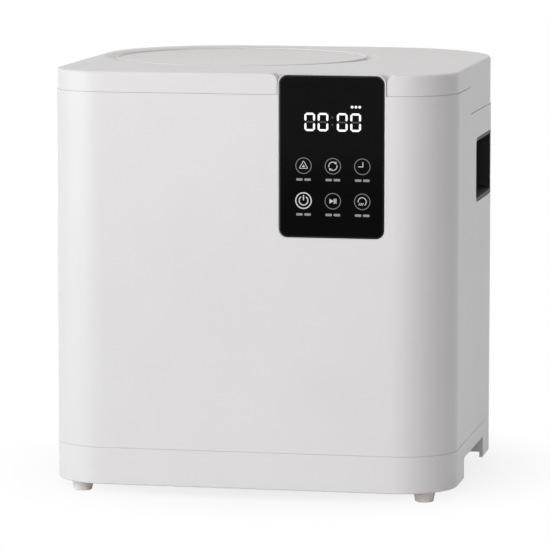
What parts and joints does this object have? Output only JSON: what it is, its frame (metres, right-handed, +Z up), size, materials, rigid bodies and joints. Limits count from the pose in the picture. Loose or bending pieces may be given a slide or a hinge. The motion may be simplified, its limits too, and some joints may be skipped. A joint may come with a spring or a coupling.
{
  "type": "electric food waste composter",
  "caption": "Countertop electric food waste composter with a hinged lid, glass touch display, lift-out bucket, geared agitator and a rear filter drawer.",
  "frame": {"origin": "on the ground under the middle of the case, at the underside of the feet", "axes": "+Z up, -Y towards the front with the display, +X to the right seen from the front"},
  "size_m": [0.29, 0.283, 0.3024],
  "materials": {
    "shell_white": "satin moulded",
    "grip_grey": "fine texture",
    "foot_rubber": "matte",
    "screw_steel": "zinc plated",
    "shaft_steel": "ground",
    "inner_grey": "fine texture",
    "black_plastic": "moulded",
    "well_aluminium": "drawn",
    "bucket_coating": "ceramic non-stick coating",
    "bail_steel": "brushed",
    "seal_rubber": "matte",
    "gear_acetal": "moulded",
    "pinion_steel": "machined",
    "bearing_bronze": "sintered",
    "motor_zinc": "zinc plated",
    "carbon": "pressed granules",
    "filter_fibre": "non-woven",
    "board_green": "solder mask",
    "transformer_core": "laminated",
    "component_black": "moulded",
    "pad_white": "moulded",
    "display_glass": "polished, black printed back",
    "magnet_nickel": "nickel plated"
  },
  "bodies": {
    "case_body": {"base_screws": "screw_steel", "base_tray": "shell_white", "bearings": "bearing_bronze", "bucket": "bucket_coating", "bucket_bail": "bail_steel", "bucket_well": "well_aluminium", "capacitors": "component_black", "cover_screws": "screw_steel", "deck_magnets": "magnet_nickel", "digit_module": "component_black", "display_board": "board_green", "display_glass": "display_glass", "exhaust_duct": "inner_grey", "fan_frame": "black_plastic", "fan_gasket": "seal_rubber", "feet": "foot_rubber", "filter_bay": "inner_grey", "foot_screws": "screw_steel", "gearbox_cover": "black_plastic", "gearbox_housing": "black_plastic", "handle_cup_left": "grip_grey", "handle_cup_right": "grip_grey", "heat_sink": "well_aluminium", "heater_ring": "well_aluminium", "hinge_pins": "screw_steel", "lid_switch": "black_plastic", "main_board": "board_green", "main_shell": "shell_white", "motor": "motor_zinc", "panel_screws": "screw_steel", "power_inlet": "black_plastic", "rear_panel": "shell_white", "relays": "component_black", "shaft_seal": "seal_rubber", "thermostat": "black_plastic", "top_deck": "inner_grey", "touch_pads": "pad_white", "transformer": "transformer_core"},
    "agitator_body": {"agitator": "bail_steel", "agitator_cap": "black_plastic", "output_gear": "gear_acetal", "output_shaft": "shaft_steel"},
    "idler_body": {"idler_gear": "gear_acetal", "idler_shaft": "shaft_steel"},
    "pinion_body": {"motor_pinion": "pinion_steel", "motor_shaft": "shaft_steel"},
    "fan_body": {"fan_impeller": "black_plastic"},
    "drawer_body": {"drawer_frame": "shell_white", "carbon_block": "carbon", "filter_pad": "filter_fibre"},
    "lid_body": {"lid_top": "shell_white", "lid_liner": "inner_grey", "lid_seal": "seal_rubber", "lid_magnets": "magnet_nickel", "lid_screws": "screw_steel"}
  },
  "joints": [
    {"name": "lid_hinge", "type": "hinge", "parent": "case_body", "child": "lid_body", "pos_m": [0, 0.137, 0.2712], "axis": [-1, 0, 0], "range_deg": [0, 85]},
    {"name": "agitator_spin", "type": "hinge", "parent": "case_body", "child": "agitator_body", "pos_m": [-0.037, 0.025, 0], "axis": [0, 0, 1], "continuous": true},
    {"name": "idler_spin", "type": "hinge", "parent": "case_body", "child": "idler_body", "pos_m": [-0.01075, -0.02047, 0], "axis": [0, 0, 1], "continuous": true},
    {"name": "pinion_spin", "type": "hinge", "parent": "case_body", "child": "pinion_body", "pos_m": [0.03125, -0.02047, 0], "axis": [0, 0, 1], "continuous": true},
    {"name": "fan_spin", "type": "hinge", "parent": "case_body", "child": "fan_body", "pos_m": [0.0244, 0.1075, 0.071], "axis": [1, 0, 0], "continuous": true},
    {"name": "filter_slide", "type": "slide", "parent": "case_body", "child": "drawer_body", "axis": [0, 1, 0], "range_m": [0, 0.056]}
  ],
  "couplings": [
    {"joint": "idler_spin", "follows": "agitator_spin", "ratio": -2.5},
    {"joint": "pinion_spin", "follows": "agitator_spin", "ratio": 8}
  ]
}
